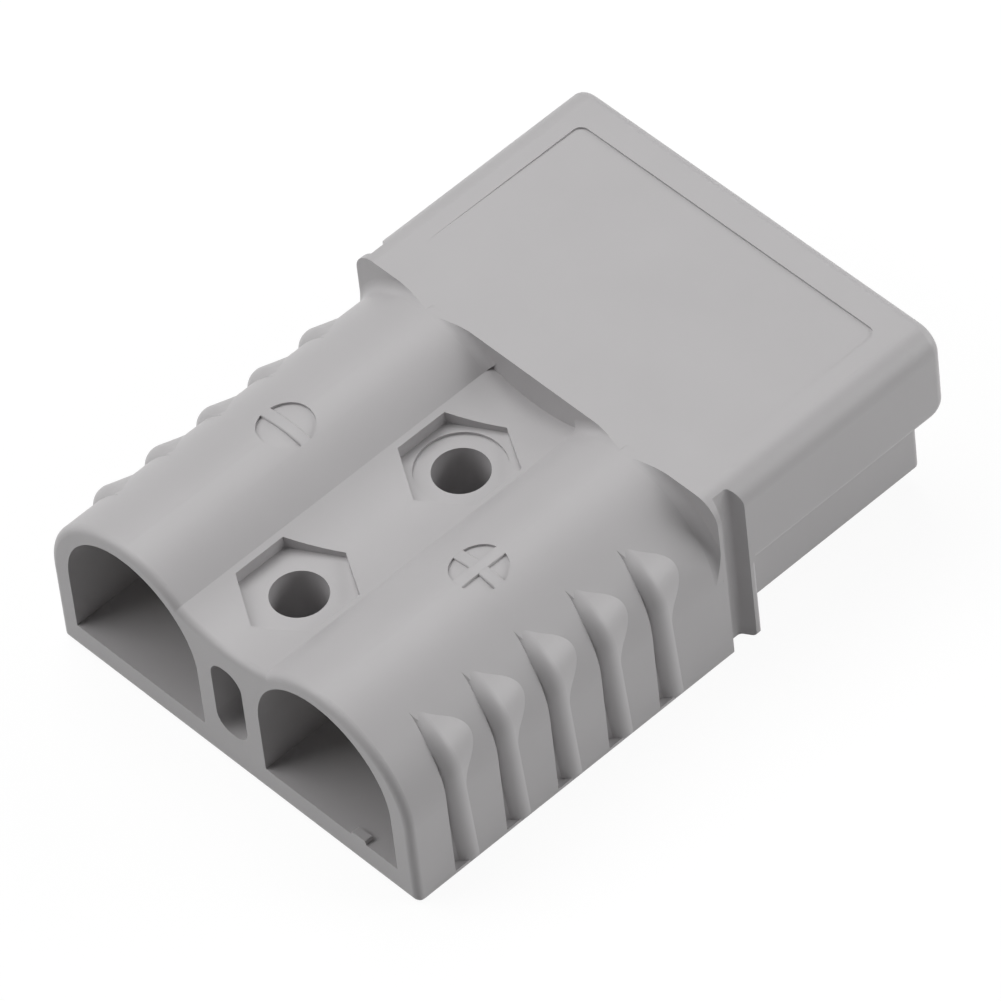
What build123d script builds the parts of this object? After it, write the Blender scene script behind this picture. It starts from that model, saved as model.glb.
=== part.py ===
from build123d import *
import os
from math import acos, cos, degrees, pi, radians, sin, sqrt, tan

# Two-pole genderless battery connector: one moulded housing that holds two crimped
# contacts on leaf springs. Lengths are in millimetres. +Y is the way it mates, +X is
# right seen from the cable end and +Z is up. The origin is the middle of the underside.

# Cable mouths: arches side by side, with the central web between them. The mouth's floor
# lies below the arches' axis
mouth_width = 20.4
mouth_drop = 8.25
mouth_depth = 41.0
web_width = 9.5
side_wall = 2.8
crest_wall = 1.8

# Lengths along Y
body_length = 46.4
neck_length = 4.8
hood_reach = 29.0

# Twin-arch body
valley_width = 13.5
valley_drop = 4.4
rear_edge_r = 0.9
cove_r = 1.2
cove_fade = 3.0
bottom_edge_r = 0.5

# Grip ribs on each side, each behind its groove
rib_count = 5
rib_pitch = 7.58
first_rib = 8.3
rib_stand = 0.15
rib_nose_r = 1.7
rib_tail_angle = 17.0
rib_shoulder_r = 6.2
rib_lean = 26.0
rib_rake = 3.0
rib_foot = 0.6
groove_depth = 1.05
groove_run = 2.0
groove_lead = 0.8
groove_foot = 0.8
groove_fade = 38.0

# Neck groove on each side, behind the stop post
collar_width = 0.55
neck_groove_depth = 1.65
neck_groove_floor = 2.4
neck_groove_lead = 0.4
neck_floor_r = 0.7
post_width = 0.85
post_edge_r = 0.5

# Hood and tongues of the mating end
mating_height = 11.6
hood_wall = 2.4
hood_top_wall = 3.2
hood_top_r = 3.0
hood_front_r = 1.2
hood_corner_r = 2.2
fit_clearance = 0.2
tongue_base = 2.6
tongue_setback = 2.1
tongue_edge_r = 0.8
divider_width = 5.0
face_clearance = 0.1

# Mounting holes in the web, each under a hexagonal nut pocket
hole_d = 6.6
hole_spacing = 23.8
first_hole = 11.3
pocket_flats = 12.0
pocket_depth = 0.8
pocket_ring_d = 10.5
pocket_ring_depth = 0.35

# Blind slot in the rear face, and the small lip on the right mouth's floor
slot_width = 4.8
slot_bottom = 5.5
slot_height = 10.7
slot_depth = 6.5
lip_width = 2.2
lip_height = 0.55
lip_length = 1.0
lip_edge_r = 0.25
lip_offset = 4.25

# Bare label recess on top of the hood
label_depth = 0.22
label_side_margin = 5.1
label_front_margin = 4.5
label_length = 23.4
label_corner_r = 1.2

# Shallow round recess for the polarity sign on each crest
sign_place = 24.0
sign_d = 6.6
sign_depth = 0.3

# Contact: crimp barrel, flattened transition and hooked blade
barrel_start = 14.0
barrel_length = 19.0
barrel_d = 14.0
barrel_bore_d = 11.0
barrel_bore_depth = 17.5
blade_width = 16.0
blade_thickness = 3.0
blade_side_clearance = 0.5
blade_front_clearance = 0.6
blade_nose_r = 2.6
hook_depth = 2.0
hook_thickness = 2.6
transition_gap = 1.0

# Leaf spring under each blade
channel_drop = 6.6
channel_headroom = 0.4
channel_lip = 1.5
spring_width = 13.0
spring_thickness = 0.8
spring_touch = 0.05
spring_end_gap = 0.8

# Derived places
mouth_r = mouth_width / 2
pole_x = web_width / 2 + mouth_r
half_width = pole_x + mouth_r + side_wall
arch_r = mouth_r + crest_wall
tongue_reach = mating_height - tongue_base
hood_ceiling = mating_height + tongue_reach + fit_clearance
height = hood_ceiling + hood_top_wall
axis_z = height - arch_r
mouth_floor = axis_z - mouth_drop
valley_height = height - valley_drop
pocket_floor = valley_height - pocket_depth
stop = body_length + neck_length
length = stop + hood_reach
tongue_front = length - tongue_setback
tongue_x = half_width - hood_wall - fit_clearance
tongue_gap = divider_width / 2 + fit_clearance
tongue_top = mating_height - face_clearance
channel_end = tongue_front - channel_lip
channel_width = blade_width + 2 * blade_side_clearance
channel_floor = mating_height - channel_drop
channel_top = mating_height + channel_headroom
rib_places = [first_rib + k * rib_pitch for k in range(rib_count)]
hole_places = [first_hole, first_hole + hole_spacing]


def along(distance):
    """Y of a place given by its distance from the rear face."""
    return distance - length / 2


def section(distance):
    """Plane across the part at a distance from the rear face, with X right and Z up."""
    return Plane.XZ.offset(-along(distance))


# Rib: its rounded profile leaves the arch on a tangent line, turns down over a rounded
# shoulder and runs down the side
lean = radians(rib_lean)
crest_x = half_width + rib_stand
lift_x = pole_x + arch_r * sin(lean)
lift_z = axis_z + arch_r * cos(lean)
shoulder_z = lift_z - (crest_x - lift_x) * tan(lean)
bend_run = rib_shoulder_r / tan((pi / 2 + lean) / 2)
bend_z = shoulder_z - bend_run
lift_run = (crest_x - lift_x) / cos(lean) - bend_run
bend_axis = Axis((crest_x - rib_shoulder_r, 0, bend_z), (0, -1, 0))
rib_tail = rib_nose_r / sin(radians(rib_tail_angle))

with BuildSketch() as rib_profile:
    with BuildLine():
        nose = CenterArc((-rib_nose_r, 0), rib_nose_r, -90, 90 + rib_tail_angle)
        Polyline(nose @ 1, (-rib_nose_r, rib_tail), nose @ 0)
    make_face()

with BuildPart() as rib:
    extrude(Plane((crest_x, 0, rib_foot)) * rib_profile.sketch, amount=bend_z - rib_foot)
    revolve(
        Plane((crest_x, 0, bend_z)) * rib_profile.sketch,
        axis=bend_axis,
        revolution_arc=90 - rib_lean,
    )
    lift = Plane((lift_x, 0, lift_z), x_dir=(sin(lean), 0, cos(lean)), z_dir=(-cos(lean), 0, sin(lean)))
    extrude(lift * rib_profile.sketch, amount=-lift_run)

# Housing, right half first
valley_x = valley_width / 2
valley_z = axis_z + sqrt(arch_r**2 - (pole_x - valley_x) ** 2)
side_reach = half_width - pole_x

groove_base_x = half_width - groove_depth
fade = radians(groove_fade)
fade_r = arch_r * side_reach / sqrt((side_reach * cos(fade)) ** 2 + (arch_r * sin(fade)) ** 2)
fade_x = pole_x + fade_r * sin(fade)
fade_z = axis_z + fade_r * cos(fade)
groove_r = ((groove_base_x - fade_x) ** 2 + (fade_z - axis_z) ** 2) / (2 * (groove_base_x - fade_x))
groove_axis = Axis((groove_base_x - groove_r, 0, axis_z), (0, -1, 0))
clear_x = half_width + side_wall

# Hood, right half: top and side wall, open below
with BuildPart() as hood:
    with BuildSketch(section(stop)) as hood_section:
        with Locations((0, mating_height)):
            Rectangle(half_width, height - mating_height, align=(Align.MIN, Align.MIN))
        fillet(hood_section.vertices().group_by(Axis.X)[-1].sort_by(Axis.Y)[-1], hood_top_r)
        with Locations((0, mating_height)):
            Rectangle(
                half_width - hood_wall,
                hood_ceiling - mating_height,
                align=(Align.MIN, Align.MIN),
                mode=Mode.SUBTRACT,
            )
    extrude(amount=-hood_reach)
    front = hood.faces().sort_by(Axis.Y)[-1]
    fillet(front.edges().sort_by(Axis.Z)[0], hood_corner_r)
    front = hood.faces().sort_by(Axis.Y)[-1]
    top_edges = front.edges().filter_by_position(Axis.Z, hood_ceiling + fit_clearance, height)
    side_edge = front.edges().group_by(Axis.X)[-1]
    rim = [edge for edge in top_edges + side_edge if edge.center().X > fit_clearance]
    fillet(rim, hood_front_r)

# Cove: the soft foot of the block's rear wall, which dies out where the arches come level
# with the block
hump_angle = degrees(acos((valley_z - axis_z) / arch_r))
with BuildLine(section(body_length)) as wall_foot:
    EllipticalCenterArc(
        (pole_x, axis_z), side_reach, arch_r, start_angle=cove_fade, arc_size=90 - 2 * cove_fade
    )
    CenterArc((pole_x, axis_z), arch_r, 90 + cove_fade, hump_angle - cove_fade)
    TangentArc(
        (valley_x, valley_z), (0, valley_height), tangent=(-1, 0), tangent_from_first=False
    )


def cove_along(path):
    """Cove swept along one curve of the arches, sunk a little into the body and the wall."""
    with BuildPart() as strip:
        with BuildSketch(Plane(path @ 0, x_dir=(0, -1, 0), z_dir=path % 0)):
            with BuildLine():
                bend = CenterArc((cove_r, cove_r), cove_r, 180, 90)
                Polyline(
                    bend @ 1,
                    (cove_r, -fit_clearance),
                    (-fit_clearance, -fit_clearance),
                    (-fit_clearance, cove_r),
                    bend @ 0,
                )
            make_face()
        sweep(path=path)
    return strip.part


strips = [cove_along(path) for path in wall_foot.edges()]

with BuildPart() as cove:
    add(strips)
    with BuildSketch(section(body_length - cove_r)) as outline:
        Rectangle(half_width, height, align=(Align.MIN, Align.MIN))
        fillet(outline.vertices().group_by(Axis.X)[-1].sort_by(Axis.Y)[-1], hood_top_r)
    extrude(amount=-(cove_r + fit_clearance), mode=Mode.INTERSECT)

# Tool for the sign recess: a round plug with the crest's curve taken off below
with BuildPart() as sign_cut:
    with BuildSketch(Plane.XY.offset(axis_z)):
        with Locations(*[(x, along(sign_place)) for x in (-pole_x, pole_x)]):
            Circle(sign_d / 2)
    extrude(amount=arch_r + sign_depth)
    with BuildSketch(section(sign_place - sign_d)):
        with Locations((-pole_x, axis_z), (pole_x, axis_z)):
            Circle(arch_r - sign_depth)
    extrude(amount=-2 * sign_d, mode=Mode.SUBTRACT)

with BuildPart() as housing:
    # Twin-arch body
    with BuildSketch(section(0)) as body:
        with BuildLine():
            Polyline((0, valley_height), (0, 0), (half_width, 0), (half_width, axis_z))
            EllipticalCenterArc((pole_x, axis_z), side_reach, arch_r, start_angle=0, arc_size=90)
            RadiusArc((pole_x, height), (valley_x, valley_z), -arch_r)
            TangentArc((0, valley_height), (valley_x, valley_z), tangent=(1, 0))
        make_face()
        fillet(body.vertices().group_by(Axis.Y)[0].sort_by(Axis.X)[-1], bottom_edge_r)
    extrude(amount=-body_length)
    rear_rim = housing.faces().sort_by(Axis.Y)[0].edges()
    upper_rim = [e for e in rear_rim if e.center().Z > bottom_edge_r and e.center().X > 0.01]
    fillet(upper_rim, rear_edge_r)

    # Grip: a groove in front of each rib's nose, fading out over the arch
    with BuildSketch(Plane.XY.offset(axis_z)) as grip:
        for place in rib_places:
            foot = along(place) - groove_run
            Polygon(
                (clear_x, foot - groove_lead),
                (half_width, foot - groove_lead),
                (groove_base_x, foot),
                (crest_x, along(place)),
                (clear_x, along(place)),
                align=None,
            )
    extrude(amount=-(axis_z - groove_foot), mode=Mode.SUBTRACT)
    revolve(grip.sketch, axis=groove_axis, revolution_arc=60, mode=Mode.SUBTRACT)
    with Locations(*[Location((0, along(place), 0), (rib_rake, 0, 0)) for place in rib_places]):
        add(rib.part)

    # Block behind the hood, with its neck groove
    add(cove.part)
    with BuildSketch(section(body_length)) as block:
        Rectangle(half_width, height, align=(Align.MIN, Align.MIN))
        fillet(block.vertices().group_by(Axis.X)[-1].sort_by(Axis.Y)[-1], hood_top_r)
        fillet(block.vertices().group_by(Axis.Y)[0].sort_by(Axis.X)[-1], bottom_edge_r)
    extrude(amount=-neck_length)
    groove_start = along(body_length + collar_width)
    groove_rise = along(stop - post_width)
    neck_floor_x = half_width - neck_groove_depth
    with BuildSketch(Plane.XY) as neck:
        Polygon(
            (clear_x, groove_rise),
            (clear_x, groove_start),
            (half_width, groove_start),
            (neck_floor_x, groove_start + neck_groove_lead),
            (neck_floor_x, groove_start + neck_groove_floor),
            (half_width, groove_rise),
            align=None,
        )
        fillet(neck.vertices().group_by(Axis.X)[0].sort_by(Axis.Y)[-1], neck_floor_r)
        fillet(neck.vertices().sort_by_distance((half_width, groove_rise))[0], post_edge_r)
    extrude(amount=height, mode=Mode.SUBTRACT)
    with BuildSketch(Plane.XY):
        with Locations((half_width, along(stop))):
            Rectangle(post_edge_r, post_edge_r, align=(Align.MAX, Align.MAX))
        with Locations((half_width - post_edge_r, along(stop) - post_edge_r)):
            Circle(post_edge_r, mode=Mode.SUBTRACT)
    extrude(amount=mating_height, mode=Mode.SUBTRACT)

    # Hood, with the divider between the poles
    add(hood.part)
    with BuildSketch(section(stop)):
        with Locations((0, mating_height)):
            Rectangle(divider_width / 2, height - mating_height - hood_wall, align=(Align.MIN, Align.MIN))
    extrude(amount=-(hood_reach - tongue_setback))

    # Tongue, open on top for the contact and its spring
    with BuildSketch(section(stop)):
        with Locations((tongue_gap, tongue_base)):
            Rectangle(tongue_x - tongue_gap, tongue_top - tongue_base, align=(Align.MIN, Align.MIN))
    extrude(amount=-(hood_reach - tongue_setback))
    tip = housing.faces().filter_by_position(Axis.Z, 0, mating_height).sort_by(Axis.Y)[-1]
    fillet(tip.edges(), tongue_edge_r)

    # Cable mouth, and the channel that leads from it to the tongue's front lip
    with BuildSketch(section(0)):
        with BuildLine():
            Polyline(
                (pole_x + mouth_r, axis_z),
                (pole_x + mouth_r, mouth_floor),
                (pole_x - mouth_r, mouth_floor),
                (pole_x - mouth_r, axis_z),
            )
            ThreePointArc(
                (pole_x - mouth_r, axis_z), (pole_x, axis_z + mouth_r), (pole_x + mouth_r, axis_z)
            )
        make_face()
    extrude(amount=-mouth_depth, mode=Mode.SUBTRACT)
    with BuildSketch(section(mouth_depth)):
        with Locations((pole_x, channel_floor)):
            Rectangle(channel_width, channel_top - channel_floor, align=(Align.CENTER, Align.MIN))
    extrude(amount=-(channel_end - mouth_depth), mode=Mode.SUBTRACT)

    mirror(about=Plane.YZ)

    # Mounting holes with their nut pockets
    with BuildSketch(Plane.XY):
        with Locations(*[(0, along(place)) for place in hole_places]):
            Circle(hole_d / 2)
    extrude(amount=height, mode=Mode.SUBTRACT)
    with BuildSketch(Plane.XY.offset(pocket_floor)):
        with Locations(*[(0, along(place)) for place in hole_places]):
            RegularPolygon(pocket_flats / 2, 6, major_radius=False, rotation=30)
    extrude(amount=height - pocket_floor, mode=Mode.SUBTRACT)
    with BuildSketch(Plane.XY.offset(pocket_floor - pocket_ring_depth)):
        with Locations((0, along(hole_places[-1]))):
            Circle(pocket_ring_d / 2)
    extrude(amount=pocket_ring_depth, mode=Mode.SUBTRACT)

    # Blind slot in the rear face
    with BuildSketch(section(0)) as slot:
        with Locations((0, slot_bottom)):
            Rectangle(slot_width, slot_height, align=(Align.CENTER, Align.MIN))
        fillet(slot.vertices(), slot_width / 2 - fit_clearance)
    extrude(amount=-slot_depth, mode=Mode.SUBTRACT)

    # Small lip on the floor of the right mouth
    with BuildSketch(section(0)) as lip:
        with Locations((pole_x + lip_offset, mouth_floor)):
            Rectangle(lip_width, lip_height, align=(Align.CENTER, Align.MIN))
        fillet(lip.vertices().group_by(Axis.Y)[-1], lip_edge_r)
    extrude(amount=-lip_length)

    # Label recess: its floor rises to the rear until it meets the top
    label_front = (0, along(length - label_front_margin), height - label_depth)
    with BuildSketch(Plane(label_front, x_dir=(1, 0, 0), z_dir=(0, label_depth, label_length))):
        RectangleRounded(
            2 * (half_width - label_side_margin),
            label_length + 2 * label_corner_r,
            label_corner_r,
            align=(Align.CENTER, Align.MAX),
        )
    extrude(amount=2 * label_depth, mode=Mode.SUBTRACT)

    # Shallow round recess for a sign on each crest, following its curve
    add(sign_cut.part, mode=Mode.SUBTRACT)

# Contact, right pole
blade_top = mating_height
blade_x = pole_x
blade_front = channel_end - blade_front_clearance
blade_bottom = blade_top - blade_thickness
barrel_end = barrel_start + barrel_length
blade_start = mouth_depth - transition_gap

with BuildPart() as contact:
    with BuildSketch(section(barrel_start)):
        with Locations((blade_x, axis_z)):
            Circle(barrel_d / 2)
    extrude(amount=-(blade_start - barrel_start))
    barrel_top = axis_z + barrel_d
    barrel_bottom = axis_z - barrel_d
    with BuildSketch(Plane.YZ.offset(blade_x)):
        Polygon(
            (along(barrel_end), axis_z + barrel_d / 2),
            (along(blade_start), blade_top),
            (along(blade_start), barrel_top),
            (along(barrel_end), barrel_top),
            align=None,
        )
        Polygon(
            (along(barrel_end), axis_z - barrel_d / 2),
            (along(blade_start), blade_bottom),
            (along(blade_start), barrel_bottom),
            (along(barrel_end), barrel_bottom),
            align=None,
        )
    extrude(amount=barrel_d, both=True, mode=Mode.SUBTRACT)
    with BuildSketch(Plane.YZ.offset(blade_x - blade_width / 2)) as profile:
        Polygon(
            (along(blade_start), blade_top),
            (along(blade_start), blade_bottom),
            (along(blade_front) - hook_thickness, blade_bottom),
            (along(blade_front) - hook_thickness, blade_bottom - hook_depth),
            (along(blade_front), blade_bottom - hook_depth),
            (along(blade_front), blade_top),
            align=None,
        )
        fillet(profile.vertices().group_by(Axis.X)[-1].sort_by(Axis.Y)[-1], blade_nose_r)
    extrude(amount=blade_width)
    with BuildSketch(section(barrel_start)):
        with Locations((blade_x, axis_z)):
            Circle(barrel_bore_d / 2)
    extrude(amount=-barrel_bore_depth, mode=Mode.SUBTRACT)

# Leaf spring, bowed up from the channel floor to the blade
spring_start = mouth_depth + spring_end_gap
spring_end = blade_front - hook_thickness - spring_end_gap
crown = blade_bottom - spring_touch
leaf_foot = channel_floor

with BuildPart() as spring:
    with BuildSketch(Plane.YZ.offset(pole_x - spring_width / 2)):
        with BuildLine():
            lower = ThreePointArc(
                (along(spring_start), leaf_foot),
                (along((spring_start + spring_end) / 2), crown - spring_thickness),
                (along(spring_end), leaf_foot),
            )
            upper = ThreePointArc(
                (along(spring_start), leaf_foot + spring_thickness),
                (along((spring_start + spring_end) / 2), crown),
                (along(spring_end), leaf_foot + spring_thickness),
            )
            Line(lower @ 0, upper @ 0)
            Line(lower @ 1, upper @ 1)
        make_face()
    extrude(amount=spring_width)

with BuildPart() as contact_left:
    mirror(contact.part, about=Plane.YZ)
with BuildPart() as spring_left:
    mirror(spring.part, about=Plane.YZ)

os.makedirs("parts", exist_ok=True)

housing.part.label = "housing"
export_step(housing.part, "parts/housing.step")

contact.part.label = "contact_right"
export_step(contact.part, "parts/contact_right.step")

contact_left.part.label = "contact_left"
export_step(contact_left.part, "parts/contact_left.step")

spring.part.label = "contact_spring_right"
export_step(spring.part, "parts/contact_spring_right.step")

spring_left.part.label = "contact_spring_left"
export_step(spring_left.part, "parts/contact_spring_left.step")
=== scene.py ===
import logging
import math
from dataclasses import dataclass, field
from enum import Enum
from typing import Any, Optional

import bmesh
import bpy
from mathutils import Matrix, Vector


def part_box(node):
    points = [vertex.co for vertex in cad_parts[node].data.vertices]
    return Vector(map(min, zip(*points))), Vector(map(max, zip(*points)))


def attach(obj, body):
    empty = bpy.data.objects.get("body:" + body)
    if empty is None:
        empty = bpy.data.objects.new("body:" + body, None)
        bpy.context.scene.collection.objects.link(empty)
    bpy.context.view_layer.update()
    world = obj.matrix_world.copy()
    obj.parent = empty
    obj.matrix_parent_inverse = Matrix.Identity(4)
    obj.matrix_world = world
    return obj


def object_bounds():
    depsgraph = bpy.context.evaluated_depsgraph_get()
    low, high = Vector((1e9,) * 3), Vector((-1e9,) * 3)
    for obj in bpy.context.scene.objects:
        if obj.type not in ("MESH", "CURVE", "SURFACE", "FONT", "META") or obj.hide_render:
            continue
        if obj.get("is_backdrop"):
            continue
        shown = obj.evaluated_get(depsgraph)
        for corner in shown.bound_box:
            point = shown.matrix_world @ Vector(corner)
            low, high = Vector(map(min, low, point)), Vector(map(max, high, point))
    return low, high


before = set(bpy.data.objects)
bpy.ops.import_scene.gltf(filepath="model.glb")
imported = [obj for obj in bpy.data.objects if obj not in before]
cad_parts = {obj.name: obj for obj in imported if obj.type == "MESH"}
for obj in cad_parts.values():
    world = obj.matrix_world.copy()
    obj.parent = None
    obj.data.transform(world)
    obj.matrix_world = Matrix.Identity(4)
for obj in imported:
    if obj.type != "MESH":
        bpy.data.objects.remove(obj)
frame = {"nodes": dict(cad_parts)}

LOG = logging.getLogger("connector")
MM = 0.001
IMAGE_PX = 1001


def linear(hex_colour: str) -> tuple[float, float, float, float]:
    """Turns an sRGB hex colour into a linear RGBA value.

    Args:
        hex_colour: The colour as "#rrggbb".

    Returns:
        The linear red, green, blue and an alpha of 1.
    """
    channels = [int(hex_colour[i : i + 2], 16) / 255 for i in (1, 3, 5)]
    light = [c / 12.92 if c <= 0.04045 else ((c + 0.055) / 1.055) ** 2.4 for c in channels]
    return (light[0], light[1], light[2], 1.0)


def add_node(
    tree: bpy.types.NodeTree,
    kind: str,
    settings: Optional[dict[str, Any]] = None,
    links: Optional[dict[Any, bpy.types.NodeSocket]] = None,
) -> bpy.types.Node:
    """Adds one shader node with its settings and its incoming links.

    Args:
        tree: The node tree that gets the node.
        kind: The node's Blender type.
        settings: Attribute values by name, or socket values by socket name or index.
        links: Output sockets by the name or index of the input that they feed.

    Returns:
        The new node.
    """
    node = tree.nodes.new(kind)
    for key, value in (settings or {}).items():
        if isinstance(key, str) and hasattr(node, key) and key not in node.inputs:
            setattr(node, key, value)
        else:
            node.inputs[key].default_value = value
    for key, socket in (links or {}).items():
        tree.links.new(socket, node.inputs[key])
    return node


def new_material(name: str) -> tuple[bpy.types.Material, bpy.types.NodeTree]:
    """Makes an empty node material.

    Args:
        name: The material's name.

    Returns:
        The material and its node tree.
    """
    material = bpy.data.materials.new(name)
    material.use_nodes = True
    material.node_tree.nodes.clear()
    return material, material.node_tree


@dataclass(frozen=True)
class MouldedThermoplastic:
    """Polycarbonate, injection moulded: an even light grey with a satin skin from a fine eroded tool.

    The tool's own grain is near 0.05 mm, and it is drawn at 0.35 mm so that it shows.
    """

    colour: str = "#b9b7b8"
    shade: str = "#b3b1b2"
    mottle_mm: float = 9.0
    grain_mm: float = 0.35
    grain_depth_mm: float = 0.004
    grain_strength: float = 0.35
    roughness: float = 0.42
    roughness_spread: float = 0.05
    ior: float = 1.58
    reflection: float = 0.35

    def material(self) -> bpy.types.Material:
        """Builds the moulded plastic's material.

        Returns:
            The material.
        """
        material, tree = new_material("moulded_polycarbonate")
        place = add_node(tree, "ShaderNodeTexCoord").outputs["Object"]
        mottle = add_node(
            tree,
            "ShaderNodeTexNoise",
            {"Scale": 1 / (self.mottle_mm * MM), "Detail": 3.0, "Roughness": 0.5},
            {"Vector": place},
        )
        grain = add_node(
            tree,
            "ShaderNodeTexNoise",
            {"Scale": 1 / (self.grain_mm * MM), "Detail": 2.0, "Roughness": 0.6},
            {"Vector": place},
        )
        tone = add_node(
            tree,
            "ShaderNodeMix",
            {"data_type": "RGBA", 6: linear(self.shade), 7: linear(self.colour)},
            {0: mottle.outputs["Fac"]},
        )
        smooth, rough = self.roughness - self.roughness_spread, self.roughness + self.roughness_spread
        gloss = add_node(
            tree, "ShaderNodeMapRange", {"To Min": smooth, "To Max": rough}, {"Value": grain.outputs["Fac"]}
        )
        bump = add_node(
            tree,
            "ShaderNodeBump",
            {"Strength": self.grain_strength, "Distance": self.grain_depth_mm * MM},
            {"Height": grain.outputs["Fac"]},
        )
        shader = add_node(
            tree,
            "ShaderNodeBsdfPrincipled",
            {"IOR": self.ior, "Specular IOR Level": self.reflection},
            {
                "Base Color": tone.outputs[2],
                "Roughness": gloss.outputs["Result"],
                "Normal": bump.outputs["Normal"],
            },
        )
        add_node(tree, "ShaderNodeOutputMaterial", links={"Surface": shader.outputs["BSDF"]})
        return material


class MetalKind(Enum):
    """The two metals inside the housing."""

    SILVER_PLATE = "silver_plated_copper"
    SPRING_STEEL = "rolled_stainless_strip"


@dataclass(frozen=True)
class BrightMetal:
    """A bare metal whose fine drawing or rolling lines stretch its gleam across the part.

    The real lines are near 0.05 mm apart, and they are drawn at 0.25 mm so that they show.
    """

    kind: MetalKind
    colour: str
    roughness: float
    line_mm: float = 0.25
    line_stretch: float = 40.0
    line_depth_mm: float = 0.002
    line_strength: float = 0.1
    smoother: float = 0.06
    rougher: float = 0.08

    def material(self) -> bpy.types.Material:
        """Builds the metal's material.

        Returns:
            The material.
        """
        material, tree = new_material(self.kind.value)
        place = add_node(tree, "ShaderNodeTexCoord").outputs["Object"]
        along = 1 / (self.line_mm * MM)
        mapping = add_node(
            tree, "ShaderNodeMapping", {"Scale": (along, along / self.line_stretch, along)}, {"Vector": place}
        )
        lines = add_node(
            tree, "ShaderNodeTexNoise", {"Scale": 1.0, "Detail": 2.0}, {"Vector": mapping.outputs["Vector"]}
        )
        gloss = add_node(
            tree,
            "ShaderNodeMapRange",
            {"To Min": self.roughness - self.smoother, "To Max": self.roughness + self.rougher},
            {"Value": lines.outputs["Fac"]},
        )
        bump = add_node(
            tree,
            "ShaderNodeBump",
            {"Strength": self.line_strength, "Distance": self.line_depth_mm * MM},
            {"Height": lines.outputs["Fac"]},
        )
        shader = add_node(
            tree,
            "ShaderNodeBsdfPrincipled",
            {"Base Color": linear(self.colour), "Metallic": 1.0},
            {"Roughness": gloss.outputs["Result"], "Normal": bump.outputs["Normal"]},
        )
        add_node(tree, "ShaderNodeOutputMaterial", links={"Surface": shader.outputs["BSDF"]})
        return material


@dataclass(frozen=True)
class PhotoCamera:
    """The photograph's camera: a long lens, high over the cable end's right corner."""

    azimuth: float = 51.41
    elevation: float = 48.45
    roll: float = -7.04
    distance_mm: float = 1189.05
    px_per_mm: float = 9.31
    target_mm: tuple[float, float, float] = (0.0, 40.0, 13.0)
    target_px: tuple[float, float] = (498.36, 478.84)
    sensor_mm: float = 36.0
    nearest_mm: float = 10.0

    def build(self) -> bpy.types.Object:
        """Creates the camera and makes it the scene's own.

        Returns:
            The camera object.
        """
        az, el, roll = (math.radians(a) for a in (self.azimuth, self.elevation, self.roll))
        back = Vector((math.sin(az) * math.cos(el), -math.cos(az) * math.cos(el), math.sin(el)))
        right = Vector((0, 0, 1)).cross(back).normalized()
        up = back.cross(right)
        right, up = math.cos(roll) * right + math.sin(roll) * up, math.cos(roll) * up - math.sin(roll) * right
        target = Vector(self.target_mm) * MM + Vector((0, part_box("housing")[0].y, 0))
        place = target + back * self.distance_mm * MM
        data = bpy.data.cameras.new("photo_camera")
        data.sensor_width = self.sensor_mm
        data.lens = self.px_per_mm * self.distance_mm / IMAGE_PX * self.sensor_mm
        data.shift_x = (IMAGE_PX / 2 - self.target_px[0]) / IMAGE_PX
        data.shift_y = (self.target_px[1] - IMAGE_PX / 2) / IMAGE_PX
        data.clip_start = self.nearest_mm * MM
        camera = bpy.data.objects.new("photo_camera", data)
        turn = Matrix((right, up, back)).transposed().to_4x4()
        camera.matrix_world = Matrix.Translation(place) @ turn
        bpy.context.scene.collection.objects.link(camera)
        bpy.context.scene.camera = camera
        return camera


@dataclass(frozen=True)
class SoftBox:
    """One square studio lamp, aimed at the middle of the part.

    Distance and size are in metres. A level of 1 shows a white face square to the lamp as white.
    """

    name: str
    azimuth: float
    elevation: float
    distance: float
    size: float
    level: float

    def build(self, aim: Vector) -> bpy.types.Object:
        """Places the lamp.

        Args:
            aim: The point that the lamp faces.

        Returns:
            The lamp object.
        """
        az, el = math.radians(self.azimuth), math.radians(self.elevation)
        away = Vector((math.cos(az) * math.cos(el), math.sin(az) * math.cos(el), math.sin(el)))
        data = bpy.data.lights.new(self.name, "AREA")
        data.shape = "SQUARE"
        data.size = self.size
        data.energy = self.level * (math.pi * self.distance) ** 2
        lamp = bpy.data.objects.new(self.name, data)
        turn = away.to_track_quat("Z", "Y").to_matrix().to_4x4()
        lamp.matrix_world = Matrix.Translation(aim + away * self.distance) @ turn
        bpy.context.scene.collection.objects.link(lamp)
        return lamp


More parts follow.
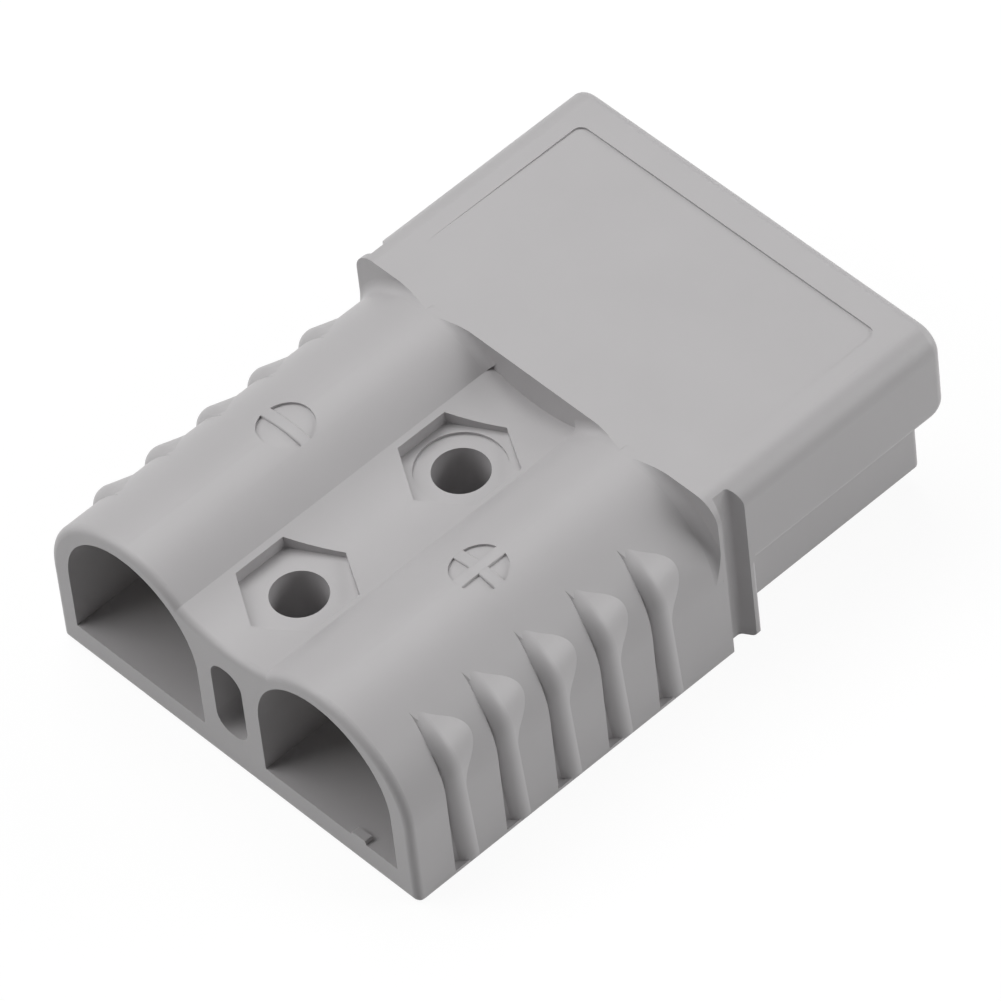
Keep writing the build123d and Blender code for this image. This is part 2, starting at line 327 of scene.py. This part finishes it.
@dataclass
class Studio:
    """Pale floor, white background and three soft lamps.

    The floor shows as plain white for the share floor_white, and the rest keeps the part's shadow.
    """

    floor_size: float = 6.0
    floor_gap_mm: float = 0.02
    floor_colour: str = "#cfcfcf"
    floor_white: float = 0.85
    white_level: float = 1.09
    world_level: float = 0.05
    lamps: tuple[SoftBox, ...] = (
        SoftBox("right_softbox", 48.0, 20.0, 1.0, 0.7, 0.58),
        SoftBox("left_softbox", -135.0, 40.0, 1.0, 0.7, 0.45),
        SoftBox("top_softbox", 160.0, 66.0, 1.1, 0.8, 0.52),
    )

    def seen_directly(self, tree: bpy.types.NodeTree) -> bpy.types.NodeSocket:
        """Gives 1 for rays that show the background, straight or through gloss and glass.

        Args:
            tree: The node tree that gets the nodes.

        Returns:
            The output socket.
        """
        path = add_node(tree, "ShaderNodeLightPath")
        first = add_node(
            tree,
            "ShaderNodeMath",
            {"operation": "MAXIMUM"},
            {0: path.outputs["Is Camera Ray"], 1: path.outputs["Is Glossy Ray"]},
        )
        both = add_node(
            tree,
            "ShaderNodeMath",
            {"operation": "MAXIMUM"},
            {0: first.outputs[0], 1: path.outputs["Is Transmission Ray"]},
        )
        return both.outputs[0]

    def build_world(self) -> None:
        """Makes the world a dim even light that shows as white."""
        world = bpy.data.worlds.new("studio")
        world.use_nodes = True
        tree = world.node_tree
        tree.nodes.clear()
        strength = add_node(
            tree,
            "ShaderNodeMapRange",
            {"To Min": self.world_level, "To Max": 1.0},
            {"Value": self.seen_directly(tree)},
        )
        light = add_node(
            tree, "ShaderNodeBackground", {"Color": (1, 1, 1, 1)}, {"Strength": strength.outputs["Result"]}
        )
        add_node(tree, "ShaderNodeOutputWorld", links={"Surface": light.outputs["Background"]})
        bpy.context.scene.world = world

    def build_floor(self) -> bpy.types.Object:
        """Makes the pale floor under the part.

        Returns:
            The floor object.
        """
        mesh = bpy.data.meshes.new("floor")
        bm = bmesh.new()
        bmesh.ops.create_grid(bm, x_segments=1, y_segments=1, size=self.floor_size / 2)
        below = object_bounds()[0].z - self.floor_gap_mm * MM
        bmesh.ops.translate(bm, verts=bm.verts, vec=(0, 0, below))
        bm.to_mesh(mesh)
        bm.free()
        floor = bpy.data.objects.new("floor", mesh)
        bpy.context.scene.collection.objects.link(floor)
        material, tree = new_material("pale_studio_floor")
        matt = add_node(tree, "ShaderNodeBsdfDiffuse", {"Color": linear(self.floor_colour)})
        white = add_node(tree, "ShaderNodeEmission", {"Color": (1, 1, 1, 1), "Strength": self.white_level})
        share = add_node(
            tree,
            "ShaderNodeMath",
            {"operation": "MULTIPLY", 1: self.floor_white},
            {0: self.seen_directly(tree)},
        )
        mix = add_node(
            tree,
            "ShaderNodeMixShader",
            links={0: share.outputs[0], 1: matt.outputs[0], 2: white.outputs[0]},
        )
        add_node(tree, "ShaderNodeOutputMaterial", links={"Surface": mix.outputs[0]})
        mesh.materials.append(material)
        floor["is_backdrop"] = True
        return floor

    def build(self) -> None:
        """Builds the world, the floor and the lamps."""
        low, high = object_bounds()
        aim = (Vector(low) + Vector(high)) / 2
        self.build_world()
        self.build_floor()
        for lamp in self.lamps:
            lamp.build(aim)


class Pole(Enum):
    """The two poles, by the contact under each crest."""

    MINUS = "contact_left"
    PLUS = "contact_right"


@dataclass(frozen=True)
class PolaritySign:
    """Plain plus or minus: bars that rise from the floor of the round recess, level with the crest.

    The crest falls as a circle of arch_mm towards the valley, and as an ellipse of half-width
    flank_mm towards the outside. The bars reach seat_mm into the plastic round them and below
    them, and their tops lie sink_mm under the crest's own surface.
    """

    pole: Pole
    arch_mm: float = 12.0
    flank_mm: float = 13.0
    place_mm: float = 24.0
    across_mm: float = 6.6
    bar_mm: float = 1.5
    depth_mm: float = 0.3
    seat_mm: float = 0.05
    sink_mm: float = 0.005
    edge_mm: float = 0.22
    edge_steps: int = 3
    round_steps: int = 96
    bend_steps: int = 15
    top_slope: float = 0.7
    wall_slope: float = 0.5
    crease_degrees: float = 40.0

    def middle(self) -> Vector:
        """Finds the sign's middle on the crest over its contact.

        Returns:
            The point in metres.
        """
        low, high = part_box("housing")
        left, right = (corner.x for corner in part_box(self.pole.value))
        return Vector(((left + right) / 2, low.y + self.place_mm * MM, high.z))

    def lift(self, x: float) -> float:
        """Follows the crest, which is rounder inside than on its outer flank.

        Args:
            x: Millimetres to the right of the sign's middle.

        Returns:
            The height in millimetres over the crest's top.
        """
        outside = x > 0 if self.pole is Pole.PLUS else x < 0
        half = self.flank_mm if outside else self.arch_mm
        return self.arch_mm * (math.sqrt(1 - (x / half) ** 2) - 1) - self.sink_mm

    def slice(self, bm: bmesh.types.BMesh, place: float, across: Vector) -> None:
        """Cuts the flat sign along a line and keeps both sides.

        Args:
            bm: The sign's mesh.
            place: Millimetres from the sign's middle to the line.
            across: The direction that the line is square to.
        """
        parts = bm.verts[:] + bm.edges[:] + bm.faces[:]
        bmesh.ops.bisect_plane(bm, geom=parts, plane_co=across * place * MM, plane_no=across)

    def cut_bars(self, bm: bmesh.types.BMesh) -> None:
        """Cuts the sign's bars out of a round face that reaches into the recess's wall.

        Args:
            bm: The mesh that gets the flat sign.
        """
        radius = (self.across_mm / 2 + self.seat_mm) * MM
        bmesh.ops.create_circle(bm, cap_ends=True, segments=self.round_steps, radius=radius)
        half = self.bar_mm / 2
        right, forward = Vector((1, 0, 0)), Vector((0, 1, 0))
        for place in (-half, half):
            self.slice(bm, place, right)
            self.slice(bm, place, forward)
        spare = []
        for face in bm.faces:
            x, y, _ = face.calc_center_median() / MM
            if abs(y) > half and (self.pole is Pole.MINUS or abs(x) > half):
                spare.append(face)
        bmesh.ops.delete(bm, geom=spare, context="FACES")
        for step in range(1, self.bend_steps):
            self.slice(bm, self.across_mm * (step / self.bend_steps - 0.5), right)

    def build(self, material: bpy.types.Material) -> bpy.types.Object:
        """Builds the sign in the housing's own plastic.

        Args:
            material: The housing's material.

        Returns:
            The sign object.
        """
        bm = bmesh.new()
        self.cut_bars(bm)
        for vert in bm.verts:
            vert.co.z = self.lift(vert.co.x / MM) * MM
        grown = bmesh.ops.extrude_face_region(bm, geom=bm.faces[:], use_keep_orig=True)
        lowered = [item for item in grown["geom"] if isinstance(item, bmesh.types.BMVert)]
        bmesh.ops.translate(bm, verts=lowered, vec=(0, 0, -(self.depth_mm + self.seat_mm) * MM))
        bmesh.ops.recalc_face_normals(bm, faces=bm.faces)
        rim = []
        for edge in bm.edges:
            lifts = sorted(face.normal.z for face in edge.link_faces)
            away = (edge.verts[0].co + edge.verts[1].co).xy.length / 2
            open_edge = lifts[-1] > self.top_slope and abs(lifts[0]) < self.wall_slope
            if open_edge and away < self.across_mm / 2 * MM:
                rim.append(edge)
        bmesh.ops.bevel(
            bm,
            geom=rim,
            offset=self.edge_mm * MM,
            affect="EDGES",
            segments=self.edge_steps,
            profile=0.5,
            material=-1,
        )
        bmesh.ops.translate(bm, verts=bm.verts, vec=self.middle())
        for face in bm.faces:
            face.smooth = True
        mesh = bpy.data.meshes.new(f"sign_{self.pole.name.lower()}")
        bm.to_mesh(mesh)
        bm.free()
        mesh.set_sharp_from_angle(angle=math.radians(self.crease_degrees))
        mesh.materials.append(material)
        sign = bpy.data.objects.new(mesh.name, mesh)
        bpy.context.scene.collection.objects.link(sign)
        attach(sign, "root")
        LOG.info("%s stands over %s", sign.name, self.pole.value)
        return sign


@dataclass
class Connector:
    """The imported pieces, dressed in their real materials."""

    nodes: dict[str, bpy.types.Object]
    plastic: MouldedThermoplastic = field(default_factory=MouldedThermoplastic)
    silver: BrightMetal = BrightMetal(MetalKind.SILVER_PLATE, "#dedbd3", 0.36)
    steel: BrightMetal = BrightMetal(MetalKind.SPRING_STEEL, "#c4c5c6", 0.3)

    def dress(self) -> None:
        """Gives each node its material and adds the signs."""
        finishes = {
            "housing": self.plastic.material(),
            "contact_spring": self.steel.material(),
            "contact": self.silver.material(),
        }
        for name, node in sorted(self.nodes.items()):
            key = next(k for k in finishes if name.startswith(k))
            node.data.materials.clear()
            node.data.materials.append(finishes[key])
            LOG.info("%s dressed in %s", name, finishes[key].name)
        for pole in Pole:
            PolaritySign(pole).build(finishes["housing"])


def main() -> None:
    """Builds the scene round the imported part."""
    logging.basicConfig(level=logging.INFO, format="%(message)s")
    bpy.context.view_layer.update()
    bpy.context.scene.view_settings.view_transform = "Standard"
    Studio().build()
    PhotoCamera().build()
    Connector(frame["nodes"]).dress()


if __name__ == "__main__":
    main()
